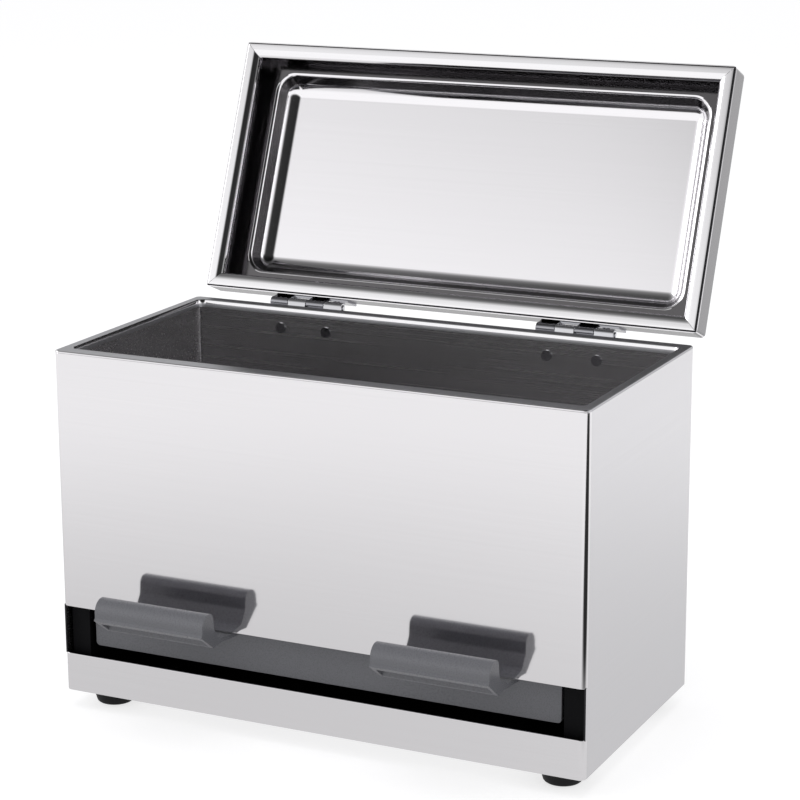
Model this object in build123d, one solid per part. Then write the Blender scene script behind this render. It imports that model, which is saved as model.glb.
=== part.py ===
from build123d import *
import os
from math import cos, radians, sin, tan

# Table-top straw case: a bent-sheet steel box with a hinged lid and a dispensing rocker.
# Millimetres. +Z is up, the front faces -Y, and the origin lies on the table under the
# middle of the box. The lid is modelled closed and then swung open to its rest position.

# Case
body_width = 230.0
body_depth = 115.0
body_height = 144.0
sheet = 0.8
back_corner_radius = 2.5
seam_gap = 0.9
front_return_width = 10.0

# Dispensing slot in the front
slot_bottom = 16.2
slot_top = 36.5
slot_corner_radius = 2.2
panel_hem_height = 7.5
strip_flange_depth = 4.0
edge_radius = 0.7

# Rim round the mouth
rim_front_width = 6.5
rim_side_width = 4.0
rim_back_width = 5.0
rim_lip_drop = 2.5
rim_corner_radius = 3.0

# Base pan and hopper ramp
pan_flange_height = 8.0
ramp_front_drop = 5.0
ramp_back_height = 78.0
ramp_back_flange = 8.0
ramp_gap = 0.7
ramp_side_gap = 2.0

# Feet
foot_height = 7.5
foot_top_radius = 9.5
foot_bottom_radius = 7.5
foot_edge_radius = 1.4
foot_inset_x = 14.5
foot_inset_y = 15.0
foot_recess_radius = 3.8
foot_recess_depth = 3.6
screw_radius = 1.6
screw_head_radius = 3.2
screw_head_height = 2.0
screw_reach = 3.2
nut_radius = 3.2
nut_height = 2.4
screw_clearance = 0.2

# Rocker: front plate, shelf, barrel and tail
rocker_side_gap = 1.8
plate_inset = 6.0
plate_thickness = 2.0
plate_bottom = 19.2
plate_corner_radius = 1.6
shelf_front_height = 35.6
shelf_thickness = 1.9
pivot_inset = 42.0
pivot_height = 32.0
barrel_radius = 5.0
gusset_count = 5
gusset_thickness = 2.0
gusset_inset = 13.2

# Tabs of the rocker that hold the straw in front of the case
tab_inset = 17.6
tab_length = 49.2
trough_width = 12.5
tab_thickness = 9.2
tab_top_height = 49.2
tab_lip_height = 41.2
tab_lip_flare = 0.8
tab_lip_rise = 1.0
tab_tip_height = 34.2
tab_tip_offset = 0.7
tab_inner_height = 42.0
tab_floor_height = 36.9
tab_floor_offset = 3.4
tab_floor_back_height = 34.9
tab_floor_thickness = 1.6
tab_knee_reach = 8.0
tab_knee_height = 34.8
tab_wall = 1.8
tab_end_wall = 1.6
tab_front_radius = 5.0
tab_back_radius = 3.2
tab_bend_radius = 3.0

# Axle and its bushes
axle_radius = 2.5
axle_end_gap = 0.5
running_clearance = 0.05
press_clearance = 0.02
bush_wall = 1.25
bush_length = 7.0
bush_flange_radius = 5.6
bush_side_play = 0.4

# Counterweight in the tail
weight_radius = 5.0
weight_inset = 11.2
weight_back_gap = 18.0
weight_drop = 19.0
channel_wall = 1.7
channel_open_drop = 2.6
tail_thickness = 2.0
weight_clearance = 0.05

# Tray under the hopper
tray_thickness = 2.0
tray_back_gap = 23.0
tray_front_gap = 0.2
tray_side_gap = 0.1
cheek_thickness = 8.3
cheek_height = 42.0
tray_wall_height = 9.0
stop_rib_height = 11.4
stop_rib_side_inset = 15.2
stop_rib_inset = 8.6
stop_rib_depth = 3.4
pad_inset = 32.0
pad_depth = 10.0
pad_gap = 0.3
tray_screw_inset_x = 35.3
tray_screw_inset_front = 24.0
tray_screw_inset_back = 8.0
tray_screw_radius = 1.5
tray_screw_head_radius = 2.8
tray_screw_head_height = 1.2
tray_screw_reach = 5.0
tray_boss_radius = 3.4

# Lid
lid_side_inset = 1.15
lid_front_inset = 3.2
lid_height = 13.2
lid_back_inset = 0.4
lid_gap = 0.3
lid_top_radius = 2.2
lid_corner_radius = 1.6
lid_open_angle = 112.3
lid_rim_width = 6.6
lid_rim_inset = 0.4
lid_rim_lip = 1.6
mitre_gap = 0.16
panel_side_margin = 12.0
panel_end_margin = 10.4
panel_rise = 8.0
panel_slope = 30.0
panel_corner_radius = 9.0
panel_edge_radius = 2.6
panel_root_radius = 0.8

# Hinges
hinge_inset_x = 52.7
hinge_length = 34.6
hinge_offset_y = 3.5
hinge_offset_z = 0.2
knuckle_radius = 2.1
knuckle_count = 4
knuckle_gap = 0.3
hinge_pin_radius = 0.9
hinge_pin_overhang = 0.4
leaf_thickness = 0.9
box_leaf_height = 13.0
lid_leaf_height = 9.0
leaf_start = 3.4
leaf_shoulder = 1.3
rivet_spread = 22.0
rivet_radius = 1.5
rivet_head_radius = 2.7
rivet_head_height = 0.9
rivet_tail_radius = 2.3
rivet_tail_height = 0.6

# Planes and axes that several pieces share
front_y = -body_depth / 2
back_y = body_depth / 2
base_z = foot_height
top_z = base_z + body_height
half_width = body_width / 2
inner_x = half_width - sheet
inner_back_y = back_y - sheet
wall_top_z = top_z - sheet
panel_half = inner_x - seam_gap
return_y = front_y + sheet
pan_front_y = return_y + sheet
floor_z = base_z + sheet
tray_floor_z = floor_z + tray_thickness
pivot_y = front_y + pivot_inset
pivot_z = base_z + pivot_height
hinge_y = back_y + hinge_offset_y
hinge_z = top_z + hinge_offset_z
lid_back_y = back_y - lid_back_inset
lid_front_y = front_y + lid_front_inset
lid_bottom_z = top_z + lid_gap
lid_top_z = lid_bottom_z + lid_height
lid_half = half_width - lid_side_inset
hinge_x = half_width - hinge_inset_x
bush_radius = axle_radius + running_clearance + bush_wall
tray_front_y = pan_front_y + sheet + tray_front_gap
tray_back_y = back_y - tray_back_gap
tray_half = inner_x - sheet - tray_side_gap
cheek_inner_x = tray_half - cheek_thickness
rocker_half_length = cheek_inner_x - rocker_side_gap
tab_outer_x = rocker_half_length - tab_inset
weight_half_length = rocker_half_length - weight_inset
weight_y = tray_back_y - weight_back_gap
weight_z = pivot_z - weight_drop
ramp_half = inner_x - ramp_side_gap
foot_x = half_width - foot_inset_x
foot_spots = [(x, y) for x in (-foot_x, foot_x) for y in (front_y + foot_inset_y, back_y - foot_inset_y)]
tray_screw_x = tray_half - tray_screw_inset_x
tray_screw_ys = (front_y + tray_screw_inset_front, tray_back_y - tray_screw_inset_back)
tray_screw_spots = [(x, y) for x in (-tray_screw_x, tray_screw_x) for y in tray_screw_ys]


def outline(corners):
    """Flat face through (u, v, radius) corners, each rounded by its radius."""
    edges = []
    joints = []
    count = len(corners)
    for i, (u, v, radius) in enumerate(corners):
        here = Vector(u, v)
        before = Vector(*corners[i - 1][:2])
        after = Vector(*corners[(i + 1) % count][:2])
        back = (before - here).normalized()
        ahead = (after - here).normalized()
        if radius == 0:
            joints.append((here, here))
            continue
        half_angle = radians(back.get_angle(ahead) / 2)
        reach = radius / tan(half_angle)
        centre = here + (back + ahead).normalized() * (radius / sin(half_angle))
        middle = centre + (here - centre).normalized() * radius
        start = here + back * reach
        end = here + ahead * reach
        edges.append(ThreePointArc(start, middle, end))
        joints.append((start, end))
    for i in range(count):
        leave = joints[i][1]
        arrive = joints[(i + 1) % count][0]
        if (arrive - leave).length > 1e-6:
            edges.append(Line(leave, arrive))
    return make_face(edges)


def along_x(corners, x_start, x_end):
    """Solid with a (y, z) outline, running along X."""
    return extrude(Plane.YZ.offset(x_start) * outline(corners), amount=x_end - x_start)


def upright(corners, z_start, z_end):
    """Solid with an (x, y) outline, running up Z."""
    return extrude(Plane.XY.offset(z_start) * outline(corners), amount=z_end - z_start)


def block(x_span, y_span, z_span):
    """Box between the given limits."""
    middle = [sum(span) / 2 for span in (x_span, y_span, z_span)]
    size = [abs(span[1] - span[0]) for span in (x_span, y_span, z_span)]
    return Pos(*middle) * Box(*size)


def rod_x(y, z, radius, x_start, x_end):
    """Round bar along X."""
    return extrude(Plane.YZ.offset(x_start) * Pos(y, z) * Circle(radius), amount=x_end - x_start)


def rod_y(x, z, radius, y_start, y_end):
    """Round bar along Y."""
    return Pos(x, (y_start + y_end) / 2, z) * Rot(90, 0, 0) * Cylinder(radius, abs(y_end - y_start))


def rod_z(x, y, radius, z_start, z_end):
    """Round bar along Z."""
    return Pos(x, y, (z_start + z_end) / 2) * Cylinder(radius, abs(z_end - z_start))


def swung_open(piece):
    """A piece of the lid, turned about the hinge pins from closed to open."""
    return Pos(0, hinge_y, hinge_z) * Rot(-lid_open_angle, 0, 0) * Pos(0, -hinge_y, -hinge_z) * piece


def knuckle_spans(centre_x, first):
    """X limits of every second knuckle of a hinge, counted from its left end."""
    pitch = hinge_length / knuckle_count
    left = centre_x - hinge_length / 2
    spans = []
    for i in range(first, knuckle_count, 2):
        spans.append((left + i * pitch + knuckle_gap / 2, left + (i + 1) * pitch - knuckle_gap / 2))
    return spans


def rivet_xs(centre_x):
    """X places of the two rivets of a hinge leaf."""
    return [centre_x - rivet_spread / 2, centre_x + rivet_spread / 2]


# Steel body
def side_back_shell():
    """Both sides and the back, bent from one sheet, with a return behind the front's edges."""
    inside_radius = back_corner_radius - sheet
    wall = upright(
        [
            (-half_width, front_y, 0),
            (-half_width, back_y, back_corner_radius),
            (half_width, back_y, back_corner_radius),
            (half_width, front_y, 0),
            (inner_x, front_y, 0),
            (inner_x, inner_back_y, inside_radius),
            (-inner_x, inner_back_y, inside_radius),
            (-inner_x, front_y, 0),
        ],
        base_z,
        wall_top_z,
    )
    low = (base_z, base_z + slot_bottom - 2 * sheet)
    high = (base_z + slot_top + panel_hem_height + sheet, wall_top_z)
    for side in (-1, 1):
        for span in (low, high):
            wall += block(
                (side * (inner_x - front_return_width), side * (inner_x + sheet / 2)),
                (return_y, return_y + sheet),
                span,
            )
    for centre_x in (-hinge_x, hinge_x):
        for x in rivet_xs(centre_x):
            wall -= rod_y(x, box_rivet_z, rivet_radius + press_clearance, inner_back_y - 1, back_y + 1)
    return wall


def front_panel():
    """Upper front sheet, with a folded hem along the top of the slot."""
    low = base_z + slot_top
    face = Plane.XZ.offset(-front_y) * outline(
        [
            (-panel_half, low, slot_corner_radius),
            (panel_half, low, slot_corner_radius),
            (panel_half, wall_top_z, 0),
            (-panel_half, wall_top_z, 0),
        ]
    )
    panel = extrude(face, amount=-sheet)
    hem_half = panel_half - slot_corner_radius
    hem = block((-hem_half, hem_half), (return_y, return_y + sheet), (low, low + panel_hem_height))
    return panel + hem


def lower_front_strip():
    """Narrow sheet under the slot, its top edge bent inwards."""
    top = base_z + slot_bottom
    return along_x(
        [
            (front_y, base_z, 0),
            (front_y, top, edge_radius + sheet),
            (front_y + strip_flange_depth, top, 0),
            (front_y + strip_flange_depth, top - sheet, 0),
            (front_y + sheet, top - sheet, edge_radius),
            (front_y + sheet, base_z, 0),
        ],
        -panel_half,
        panel_half,
    )


def base_pan():
    """Floor of the case, with an upturned edge inside the walls."""
    corner = back_corner_radius - sheet
    outer = upright(
        [
            (-inner_x, pan_front_y, 0),
            (inner_x, pan_front_y, 0),
            (inner_x, inner_back_y, corner),
            (-inner_x, inner_back_y, corner),
        ],
        base_z,
        floor_z + pan_flange_height,
    )
    inside = upright(
        [
            (-inner_x + sheet, pan_front_y + sheet, 0),
            (inner_x - sheet, pan_front_y + sheet, 0),
            (inner_x - sheet, inner_back_y - sheet, corner / 2),
            (-inner_x + sheet, inner_back_y - sheet, corner / 2),
        ],
        floor_z,
        floor_z + pan_flange_height + 1,
    )
    pan = outer - inside
    for x, y in foot_spots:
        pan -= rod_z(x, y, screw_radius + screw_clearance, base_z - 1, floor_z + 1)
    for x, y in tray_screw_spots:
        pan -= rod_z(x, y, tray_screw_radius + screw_clearance, base_z - 1, floor_z + 1)
    return pan


def mouth_rim():
    """Flat rim round the mouth, its inner edge turned down."""
    outer = upright(
        [
            (-half_width, front_y, edge_radius),
            (half_width, front_y, edge_radius),
            (half_width, back_y, back_corner_radius),
            (-half_width, back_y, back_corner_radius),
        ],
        wall_top_z,
        top_z,
    )
    outer = fillet(outer.faces().sort_by(Axis.Z)[-1].edges(), edge_radius)

    def mouth(grow, z_start, z_end):
        x = half_width - rim_side_width + grow
        radius = rim_corner_radius + grow
        return upright(
            [
                (-x, front_y + rim_front_width - grow, radius),
                (x, front_y + rim_front_width - grow, radius),
                (x, back_y - rim_back_width + grow, radius),
                (-x, back_y - rim_back_width + grow, radius),
            ],
            z_start,
            z_end,
        )

    lip = mouth(sheet, wall_top_z - rim_lip_drop, wall_top_z)
    return outer + lip - mouth(0, wall_top_z - rim_lip_drop - 1, top_z + 1)


def hopper_ramp():
    """Sloping floor of the hopper, from the back wall down to the rocker's barrel."""
    low_y = pivot_y + barrel_radius + ramp_gap
    low_z = pivot_z + barrel_radius
    high_z = base_z + ramp_back_height
    edge = low_z - ramp_front_drop
    return along_x(
        [
            (low_y, edge, 0),
            (low_y, low_z, edge_radius + sheet),
            (inner_back_y - sheet, high_z, edge_radius),
            (inner_back_y - sheet, high_z + ramp_back_flange, 0),
            (inner_back_y, high_z + ramp_back_flange, 0),
            (inner_back_y, high_z - sheet, edge_radius + sheet),
            (low_y + sheet, low_z - sheet, edge_radius),
            (low_y + sheet, edge, 0),
        ],
        -ramp_half,
        ramp_half,
    )


# Feet and their fasteners
def foot(x, y):
    """Rubber foot with a recess for its screw."""
    section = Plane.XZ * outline(
        [
            (foot_recess_radius, 0, 0),
            (foot_bottom_radius, 0, foot_edge_radius),
            (foot_top_radius, foot_height, 0),
            (screw_radius + screw_clearance, foot_height, 0),
            (screw_radius + screw_clearance, foot_recess_depth, 0),
            (foot_recess_radius, foot_recess_depth, 0),
        ]
    )
    return Pos(x, y, 0) * revolve(section, Axis.Z)


def foot_seat_z(y):
    """Height of the sheet or tray that a foot's nut sits on."""
    return tray_floor_z if y < tray_back_y else floor_z


def foot_screws():
    """One screw through each foot, the head in its recess."""
    screws = []
    for x, y in foot_spots:
        head_z = foot_recess_depth - screw_head_height
        head = rod_z(x, y, screw_head_radius, head_z, foot_recess_depth)
        shank = rod_z(x, y, screw_radius, head_z, foot_seat_z(y) + screw_reach)
        slot_cut = block(
            (x - screw_head_radius, x + screw_head_radius),
            (y - screw_radius / 4, y + screw_radius / 4),
            (head_z - 1, head_z + screw_head_height / 3),
        )
        screws.append(head + shank - slot_cut)
    return Compound(children=screws)


def foot_nuts():
    """Hexagon nut on each foot's screw, inside the case."""
    nuts = []
    for x, y in foot_spots:
        low = foot_seat_z(y)
        hexagon = Plane.XY.offset(low) * Pos(x, y) * RegularPolygon(nut_radius, 6)
        nut = extrude(hexagon, amount=nut_height)
        nut -= rod_z(x, y, screw_radius + press_clearance, low - 1, low + nut_height + 1)
        nuts.append(nut)
    return Compound(children=nuts)


# Tray that carries the rocker
def mechanism_tray():
    """Moulded tray on the case's floor, with the cheeks that hold the rocker's bushes."""
    tray = block((-tray_half, tray_half), (tray_front_y, tray_back_y), (floor_z, tray_floor_z))
    cheek_front_y = front_y + strip_flange_depth + tray_front_gap
    cheek_back_y = pivot_y + barrel_radius
    for side in (-1, 1):
        tray += block(
            (side * cheek_inner_x, side * tray_half),
            (cheek_front_y, cheek_back_y),
            (floor_z, base_z + cheek_height),
        )
        start = side * (cheek_inner_x - 1)
        end = side * (cheek_inner_x + bush_length + axle_end_gap)
        tray -= rod_x(pivot_y, pivot_z, bush_radius + press_clearance, min(start, end), max(start, end))
    tray += block(
        (-tray_half, tray_half),
        (tray_back_y - tray_thickness, tray_back_y),
        (floor_z, floor_z + tray_wall_height),
    )
    rib_y = front_y + stop_rib_inset
    stop_rib_half = rocker_half_length - stop_rib_side_inset
    tray += block(
        (-stop_rib_half, stop_rib_half),
        (rib_y, rib_y + stop_rib_depth),
        (floor_z, base_z + stop_rib_height),
    )
    for x, y in tray_screw_spots:
        tray += rod_z(x, y, tray_boss_radius, floor_z, floor_z + tray_screw_reach + tray_thickness)
        tray -= rod_z(x, y, tray_screw_radius + press_clearance, floor_z - 1, floor_z + tray_screw_reach)
    for x, y in foot_spots:
        if y < tray_back_y:
            tray -= rod_z(x, y, screw_radius + screw_clearance, floor_z - 1, tray_floor_z + 1)
    return tray


def tray_screws():
    """Screws from below that hold the tray to the floor."""
    screws = []
    for x, y in tray_screw_spots:
        head = rod_z(x, y, tray_screw_head_radius, base_z - tray_screw_head_height, base_z)
        shank = rod_z(x, y, tray_screw_radius, base_z - tray_screw_head_height, floor_z + tray_screw_reach)
        screws.append(head + shank)
    return Compound(children=screws)


def rest_pad():
    """Soft strip that the counterweight settles on."""
    pad_top = weight_z - weight_radius - pad_gap
    pad_half = weight_half_length - pad_inset
    return block(
        (-pad_half, pad_half),
        (weight_y - pad_depth / 2, weight_y + pad_depth / 2),
        (tray_floor_z, pad_top),
    )


def axle_bush(side):
    """Flanged bush in a cheek of the tray."""
    seat = side * cheek_inner_x
    flange_end = side * (rocker_half_length + bush_side_play)
    far_end = side * (cheek_inner_x + bush_length)
    body = rod_x(pivot_y, pivot_z, bush_radius, min(seat, far_end), max(seat, far_end))
    flange = rod_x(pivot_y, pivot_z, bush_flange_radius, min(seat, flange_end), max(seat, flange_end))
    bore = rod_x(pivot_y, pivot_z, axle_radius + running_clearance, -half_width, half_width)
    return body + flange - bore


# Rocker
def tab_outline():
    """Section of a tab with its floor, from the plate forwards."""
    inner_y = front_y - trough_width
    outer_y = inner_y - tab_thickness
    floor_y = inner_y + tab_floor_offset
    plate_y = front_y + plate_inset + plate_thickness / 2
    return [
        (plate_y, base_z + tab_floor_back_height - tab_floor_thickness, 0),
        (front_y - tab_knee_reach, base_z + tab_knee_height, 0),
        (inner_y - tab_tip_offset, base_z + tab_tip_height, 0),
        (outer_y - tab_lip_flare, base_z + tab_lip_height, 0),
        (outer_y, base_z + tab_lip_height + tab_lip_rise, 0),
        (outer_y, base_z + tab_top_height, tab_front_radius),
        (inner_y - tab_tip_offset, base_z + tab_top_height, tab_back_radius),
        (inner_y, base_z + tab_inner_height, tab_bend_radius),
        (floor_y, base_z + tab_floor_height, tab_bend_radius),
        (plate_y, base_z + tab_floor_back_height, 0),
    ]


def tab_hollow():
    """Section of the space inside a tab, open below."""
    inner_y = front_y - trough_width - tab_wall
    outer_y = front_y - trough_width - tab_thickness + tab_wall
    top = base_z + tab_top_height - tab_wall
    low = base_z + tab_tip_height - tab_wall
    return [
        (outer_y, low, 0),
        (outer_y, top, tab_front_radius - tab_wall),
        (inner_y - tab_tip_offset, top, tab_back_radius - tab_wall),
        (inner_y, base_z + tab_inner_height, 0),
        (inner_y, low, 0),
    ]


def rocker():
    """Dispensing rocker: plate across the slot, shelf, barrel, tail and the two tabs."""
    plate_y = front_y + plate_inset
    shelf_z = base_z + shelf_front_height
    low_z = base_z + plate_bottom
    body = along_x(
        [
            (plate_y, low_z, 0),
            (plate_y, shelf_z, edge_radius),
            (pivot_y, pivot_z + barrel_radius, 0),
            (pivot_y, pivot_z + barrel_radius - shelf_thickness, 0),
            (plate_y + plate_thickness, shelf_z - shelf_thickness, 0),
            (plate_y + plate_thickness, low_z, 0),
        ],
        -rocker_half_length,
        rocker_half_length,
    )
    low_ends = [edge for edge in body.edges().filter_by(Axis.Y) if abs(edge.center().Z - low_z) < 0.01]
    body = fillet(low_ends, plate_corner_radius)
    body += rod_x(pivot_y, pivot_z, barrel_radius, -rocker_half_length, rocker_half_length)

    tail_start = (pivot_y + barrel_radius / 2, pivot_z - barrel_radius / 2)
    tail_end = (weight_y - weight_radius / 2, weight_z + weight_radius)
    run = Vector(*tail_end) - Vector(*tail_start)
    across = Vector(-run.Y, run.X).normalized() * tail_thickness / 2
    corners = []
    for point, sign in ((tail_start, 1), (tail_end, 1), (tail_end, -1), (tail_start, -1)):
        corners.append((point[0] + sign * across.X, point[1] + sign * across.Y, 0))
    tail_half = weight_half_length
    body += along_x(corners, -tail_half, tail_half)

    channel_radius = weight_radius + weight_clearance + channel_wall
    body += rod_x(weight_y, weight_z, channel_radius, -tail_half, tail_half)
    body -= rod_x(weight_y, weight_z, weight_radius + weight_clearance, -tail_half - 1, tail_half + 1)
    body -= block(
        (-tail_half - 1, tail_half + 1),
        (weight_y - channel_radius - 1, weight_y + channel_radius + 1),
        (weight_z - channel_radius - 1, weight_z - channel_open_drop),
    )

    gusset_half = rocker_half_length - gusset_inset
    for i in range(gusset_count):
        x = -gusset_half + i * 2 * gusset_half / (gusset_count - 1)
        body += along_x(
            [
                (plate_y + plate_thickness / 2, low_z + plate_thickness, 0),
                (plate_y + plate_thickness / 2, shelf_z - shelf_thickness / 2, 0),
                (pivot_y, pivot_z + barrel_radius - shelf_thickness / 2, 0),
                (pivot_y, pivot_z - barrel_radius + shelf_thickness / 2, 0),
            ],
            x - gusset_thickness / 2,
            x + gusset_thickness / 2,
        )

    for side in (-1, 1):
        near = side * (tab_outer_x - tab_length)
        far = side * tab_outer_x
        start, end = min(near, far), max(near, far)
        body += along_x(tab_outline(), start, end)
        body -= along_x(tab_hollow(), start + tab_end_wall, end - tab_end_wall)

    bore_half = rocker_half_length + 1
    return body - rod_x(pivot_y, pivot_z, axle_radius + press_clearance, -bore_half, bore_half)


def rocker_axle():
    """Steel rod through the rocker's barrel, its ends in the bushes."""
    half = cheek_inner_x + bush_length
    return rod_x(pivot_y, pivot_z, axle_radius, -half, half)


def counterweight_bar():
    """Steel bar in the tail that brings the tabs back up."""
    return rod_x(weight_y, weight_z, weight_radius, -weight_half_length, weight_half_length)


# Lid, drawn closed
def raised_panel(shrink, z_start, rise):
    """Tapered block of the panel pressed into the lid's top."""
    x = lid_half - panel_side_margin - shrink
    near_y = lid_front_y + panel_end_margin + shrink
    far_y = lid_back_y - panel_end_margin - shrink
    radius = panel_corner_radius - shrink
    corners = [(-x, near_y, radius), (x, near_y, radius), (x, far_y, radius), (-x, far_y, radius)]
    base = Plane.XY.offset(z_start) * outline(corners)
    return extrude(base, amount=rise, taper=panel_slope)


def lid_block(inset, z_start, z_end):
    """Plain block of the lid's outline, drawn in by the inset."""
    x = lid_half - inset
    radius = lid_corner_radius - inset
    return upright(
        [
            (-x, lid_front_y + inset, radius),
            (x, lid_front_y + inset, radius),
            (x, lid_back_y - inset, radius),
            (-x, lid_back_y - inset, radius),
        ],
        z_start,
        z_end,
    )


def root_edges(solid, level):
    """Edges round the foot of the raised panel, at the given height."""
    inside = lid_half - panel_side_margin / 2
    edges = []
    for edge in solid.edges():
        box = edge.bounding_box()
        flat = abs(box.min.Z - level) < 0.01 and abs(box.max.Z - level) < 0.01
        if flat and box.max.X < inside and box.min.X > -inside:
            if box.min.Y > lid_front_y + panel_end_margin / 2 and box.max.Y < lid_back_y - panel_end_margin / 2:
                edges.append(edge)
    return edges


def lid_shell():
    """Lid sheet: walls and a top with a raised panel."""
    wall_low = lid_bottom_z + sheet
    overlap = sheet / 2
    outer = lid_block(0, wall_low, lid_top_z)
    outer = fillet(outer.faces().sort_by(Axis.Z)[-1].edges(), lid_top_radius)
    overlap_run = overlap * tan(radians(panel_slope))
    outer += raised_panel(-overlap_run, lid_top_z - overlap, panel_rise + overlap)
    outer = fillet(outer.faces().sort_by(Axis.Z)[-1].edges(), panel_edge_radius)
    outer = fillet(root_edges(outer, lid_top_z), panel_root_radius)
    inner_top = lid_top_z - sheet
    hollow = lid_block(sheet, wall_low - 1, inner_top)
    hollow = fillet(hollow.faces().sort_by(Axis.Z)[-1].edges(), lid_top_radius - sheet)
    # A tilted wall of the same thickness starts this far inside the outer one.
    shift = sheet * tan(radians(45 - panel_slope / 2))
    hollow += raised_panel(shift - overlap_run, inner_top - overlap, panel_rise + overlap)
    hollow = fillet(hollow.faces().sort_by(Axis.Z)[-1].edges(), panel_edge_radius - sheet)
    hollow = fillet(root_edges(hollow, inner_top), panel_root_radius + sheet)
    shell = outer - hollow
    for centre_x in (-hinge_x, hinge_x):
        for x in rivet_xs(centre_x):
            shell -= rod_y(x, lid_rivet_z, rivet_radius + press_clearance, lid_back_y - 2, lid_back_y + 1)
    return swung_open(shell)


def lid_rim_ring():
    """Whole inner frame of the lid before its mitres are cut."""
    frame = lid_block(lid_rim_inset, lid_bottom_z, lid_bottom_z + sheet)
    x = lid_half - lid_rim_width
    near_y = lid_front_y + lid_rim_width
    far_y = lid_back_y - lid_rim_width
    lip = block(
        (-x - sheet, x + sheet),
        (near_y - sheet, far_y + sheet),
        (lid_bottom_z, lid_bottom_z + sheet + lid_rim_lip),
    )
    opening = block((-x, x), (near_y, far_y), (lid_bottom_z - 1, lid_bottom_z + lid_height))
    return frame + lip - opening


def lid_rim_member(side):
    """One mitred strip of the lid's inner frame."""
    reach = 2 * lid_rim_width
    half = mitre_gap / 2
    left, right = -lid_half, lid_half
    near, far = lid_front_y, lid_back_y
    wedges = {
        "front": [(left, near - half), (right, near - half), (right - reach, near + reach - half),
                  (left + reach, near + reach - half)],
        "back": [(left, far + half), (left + reach, far - reach + half), (right - reach, far - reach + half),
                 (right, far + half)],
        "left": [(left - half, near), (left + reach - half, near + reach), (left + reach - half, far - reach),
                 (left - half, far)],
        "right": [(right + half, near), (right + half, far), (right - reach + half, far - reach),
                  (right - reach + half, near + reach)],
    }
    wedge = upright([(x, y, 0) for x, y in wedges[side]], lid_bottom_z - 1, lid_top_z)
    return swung_open(lid_rim_ring() & wedge)


# Hinges
box_rivet_z = hinge_z - leaf_start - box_leaf_height * 0.55
lid_rivet_z = hinge_z + leaf_start + lid_leaf_height * 0.5


def hinge_leaf(centre_x, wall_y, direction, height, first, rivet_z):
    """Leaf with its knuckles: direction is -1 for the case's leaf and 1 for the lid's."""
    low = hinge_z + direction * leaf_start
    far = low + direction * height
    leaf = block(
        (centre_x - hinge_length / 2, centre_x + hinge_length / 2),
        (wall_y, wall_y + leaf_thickness),
        (min(low, far), max(low, far)),
    )
    for start, end in knuckle_spans(centre_x, first):
        leaf += rod_x(hinge_y, hinge_z, knuckle_radius, start, end)
        corners = [
            (wall_y, low + direction * leaf_shoulder, 0),
            (wall_y + leaf_thickness, low + direction * leaf_shoulder, 0),
            (hinge_y, hinge_z + direction * knuckle_radius, 0),
            (hinge_y - knuckle_radius, hinge_z, 0),
        ]
        leaf += along_x(corners, start, end)
        leaf -= rod_x(hinge_y, hinge_z, hinge_pin_radius + running_clearance, start - 1, end + 1)
    for x in rivet_xs(centre_x):
        leaf -= rod_y(x, rivet_z, rivet_radius + press_clearance, wall_y - 1, wall_y + leaf_thickness + 1)
    return leaf


def hinge_pin(centre_x):
    """Pin through the knuckles of a hinge."""
    half = hinge_length / 2 + hinge_pin_overhang
    return rod_x(hinge_y, hinge_z, hinge_pin_radius, centre_x - half, centre_x + half)


def leaf_rivets(wall_y, rivet_z):
    """Rivets of both leaves on one wall, whose outer face is given."""
    rivets = []
    for centre_x in (-hinge_x, hinge_x):
        for x in rivet_xs(centre_x):
            head_y = wall_y + leaf_thickness
            tail_y = wall_y - sheet
            head = rod_y(x, rivet_z, rivet_head_radius, head_y, head_y + rivet_head_height)
            head = fillet(head.faces().sort_by(Axis.Y)[-1].edges(), rivet_head_height * 0.8)
            shank = rod_y(x, rivet_z, rivet_radius, tail_y, head_y)
            tail = rod_y(x, rivet_z, rivet_tail_radius, tail_y - rivet_tail_height, tail_y)
            rivets.append(head + shank + tail)
    return Compound(children=rivets)


def named_parts():
    """Every piece by its node name."""
    parts = {
        "side_back_shell": side_back_shell(),
        "front_panel": front_panel(),
        "lower_front_strip": lower_front_strip(),
        "base_pan": base_pan(),
        "mouth_rim": mouth_rim(),
        "hopper_ramp": hopper_ramp(),
        "mechanism_tray": mechanism_tray(),
        "tray_screws": tray_screws(),
        "rest_pad": rest_pad(),
        "left_axle_bush": axle_bush(-1),
        "right_axle_bush": axle_bush(1),
        "rocker": rocker(),
        "rocker_axle": rocker_axle(),
        "counterweight_bar": counterweight_bar(),
        "lid_shell": lid_shell(),
        "foot_screws": foot_screws(),
        "foot_nuts": foot_nuts(),
        "hinge_box_rivets": leaf_rivets(back_y, box_rivet_z),
        "hinge_lid_rivets": swung_open(leaf_rivets(lid_back_y, lid_rivet_z)),
    }
    for side in ("front", "back", "left", "right"):
        parts[f"lid_rim_{side}"] = lid_rim_member(side)
    for (x, y), place in zip(foot_spots, ("front_left", "back_left", "front_right", "back_right")):
        parts[f"foot_{place}"] = foot(x, y)
    for side, x in (("left", -hinge_x), ("right", hinge_x)):
        parts[f"{side}_hinge_box_leaf"] = hinge_leaf(x, back_y, -1, box_leaf_height, 1, box_rivet_z)
        lid_leaf = hinge_leaf(x, lid_back_y, 1, lid_leaf_height, 0, lid_rivet_z)
        parts[f"{side}_hinge_lid_leaf"] = swung_open(lid_leaf)
        parts[f"{side}_hinge_pin"] = hinge_pin(x)
    return parts


os.makedirs("parts", exist_ok=True)
for name, piece in named_parts().items():
    export_step(piece, f"parts/{name}.step")
    print(name, "volume", round(piece.volume, 1))
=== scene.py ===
# %% [markdown]
# # A steel straw case, dressed in Blender
#
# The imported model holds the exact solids. This lesson gives them their looks: it loads the solids, sets the
# camera and a plain studio, makes the finishes, and then models the pieces that show, one by one.

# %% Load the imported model
import math

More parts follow.
